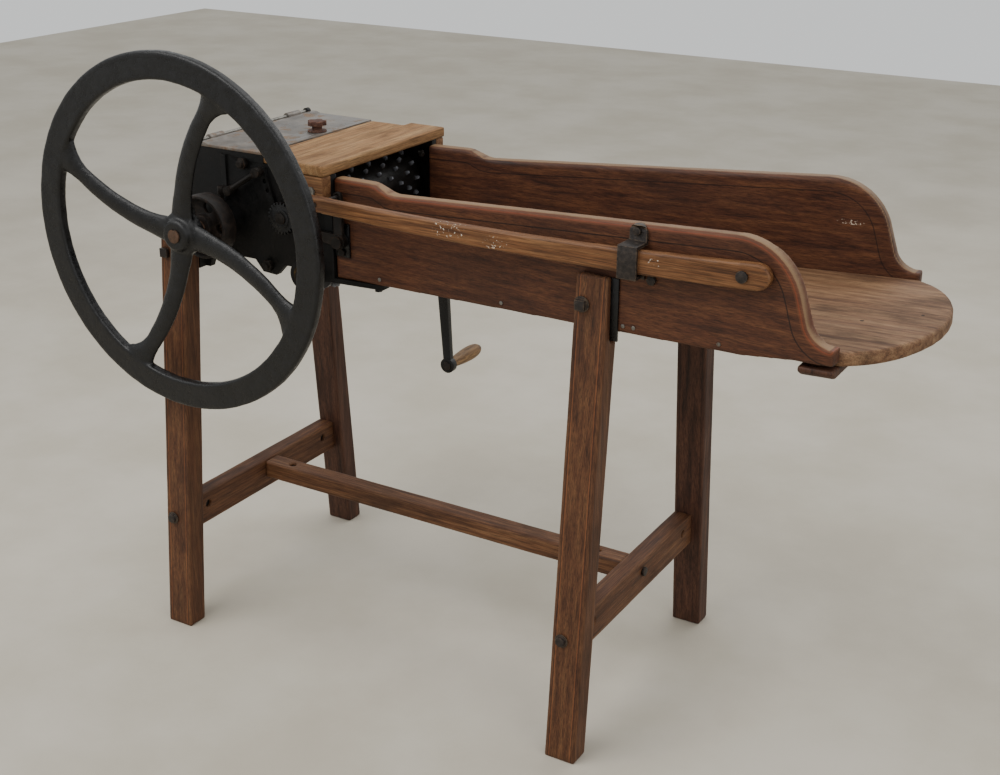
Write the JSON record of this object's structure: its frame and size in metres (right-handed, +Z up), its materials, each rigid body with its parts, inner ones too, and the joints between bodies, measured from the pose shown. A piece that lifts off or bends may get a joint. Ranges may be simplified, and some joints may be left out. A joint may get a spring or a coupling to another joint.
{
  "type": "stalk cutter",
  "caption": "Hand-cranked stalk cutter with a curved-spoke flywheel, spiked feed rollers, a knife cylinder and a flared wooden trough on splayed legs.",
  "frame": {"origin": "On the floor, below the middle of the whole machine's box.", "axes": "X runs along the trough to the feed end, Y across the machine to the crank side, Z is up."},
  "size_m": [1.6833, 0.728, 1.211],
  "materials": {
    "leg_wood": "weathered",
    "dark_wood": "weathered",
    "pale_wood": "weathered",
    "black_iron": "old gloss paint",
    "bare_iron": "satin",
    "lid_iron": "satin",
    "rusty_iron": "rusted",
    "steel": "dull",
    "bronze": "dull"
  },
  "bodies": {
    "frame": {"front_near_leg": "leg_wood", "front_far_leg": "leg_wood", "rear_near_leg": "leg_wood", "rear_far_leg": "leg_wood", "front_cross_rail": "dark_wood", "rear_cross_rail": "dark_wood", "long_rail": "dark_wood", "rail_bolts": "black_iron", "rail_nuts": "black_iron", "leg_plates": "black_iron", "leg_bolts": "black_iron", "near_side_board": "dark_wood", "far_side_board": "dark_wood", "trough_floor": "pale_wood", "floor_cleat": "dark_wood", "floor_nails": "steel", "near_side_casting": "black_iron", "far_side_casting": "black_iron", "near_cheek": "dark_wood", "far_cheek": "dark_wood", "cheek_bolts": "steel", "head_top_board": "pale_wood", "lid_hinge_pin": "steel", "bed_plate": "bare_iron", "shear_bar": "steel", "tie_bolts": "bare_iron", "tongue_bolts": "black_iron", "cutter_bushes": "bronze", "crank_bushes": "bronze", "oil_cups": "bronze", "brace_rod": "black_iron", "rod_keeper": "black_iron", "keeper_screws": "steel", "lever_bracket": "black_iron", "lever_pin": "steel"},
    "flywheel_shaft": {"cutter_shaft": "rusty_iron", "flywheel": "black_iron", "flywheel_key": "rusty_iron", "belt_pulley": "rusty_iron", "cutter_pinion": "black_iron", "knife_spiders": "bare_iron", "knives_set": "steel", "knife_bolts": "steel"},
    "crank": {"crank_shaft": "steel", "crank_gear": "black_iron", "crank_arm": "black_iron", "crank_spindle": "steel", "lower_roller": "bare_iron", "lower_roller_gear": "bare_iron"},
    "grip": {"crank_grip": "pale_wood"},
    "roller_carriage": {"roller_blocks": "bare_iron"},
    "upper_roller": {"upper_roller": "bare_iron", "upper_roller_shaft": "steel", "upper_roller_gear": "bare_iron", "ribbed_collar": "black_iron"},
    "lid": {"lid": "lid_iron"},
    "lid_knob": {"lid_knob": "rusty_iron"},
    "shift_rod": {"shift_rod": "pale_wood", "shift_rod_bolts": "black_iron"},
    "shift_lever": {"shift_lever": "bare_iron"}
  },
  "joints": [
    {"name": "flywheel_spin", "type": "hinge", "parent": "frame", "child": "flywheel_shaft", "pos_m": [-0.5015, 0, 0.871], "axis": [0, 1, 0], "continuous": true},
    {"name": "crank_spin", "type": "hinge", "parent": "frame", "child": "crank", "pos_m": [-0.30491, 0, 0.793], "axis": [0, 1, 0], "continuous": true},
    {"name": "grip_spin", "type": "hinge", "parent": "crank", "child": "grip", "pos_m": [-0.2824, 0.304, 0.46277], "axis": [0, 1, 0], "continuous": true},
    {"name": "roller_lift", "type": "slide", "parent": "frame", "child": "roller_carriage", "axis": [0, 0, 1], "range_m": [0, 0.0121]},
    {"name": "upper_roller_spin", "type": "hinge", "parent": "roller_carriage", "child": "upper_roller", "pos_m": [-0.33291, 0, 0.90454], "axis": [0, 1, 0], "continuous": true},
    {"name": "lid_hinge", "type": "hinge", "parent": "frame", "child": "lid", "pos_m": [-0.5695, 0, 1.0123], "axis": [0, -1, 0], "range_deg": [0, 100]},
    {"name": "knob_spin", "type": "hinge", "parent": "lid", "child": "lid_knob", "pos_m": [-0.4345, -0.001, 1.02], "axis": [0, 0, 1], "continuous": true},
    {"name": "rod_slide", "type": "slide", "parent": "frame", "child": "shift_rod", "axis": [1, 0, 0], "range_m": [0, 0.0105]},
    {"name": "lever_swing", "type": "hinge", "parent": "frame", "child": "shift_lever", "pos_m": [-0.2285, -0.2135, 0.868], "axis": [0, 1, 0], "range_deg": [0, 7.6]}
  ],
  "couplings": [
    {"joint": "crank_spin", "follows": "flywheel_spin", "ratio": -0.46875},
    {"joint": "upper_roller_spin", "follows": "flywheel_spin", "ratio": 0.30134},
    {"joint": "lever_swing", "follows": "rod_slide", "rad_per_m": 11.853},
    {"joint": "roller_lift", "follows": "rod_slide", "ratio": 1.1427}
  ]
}
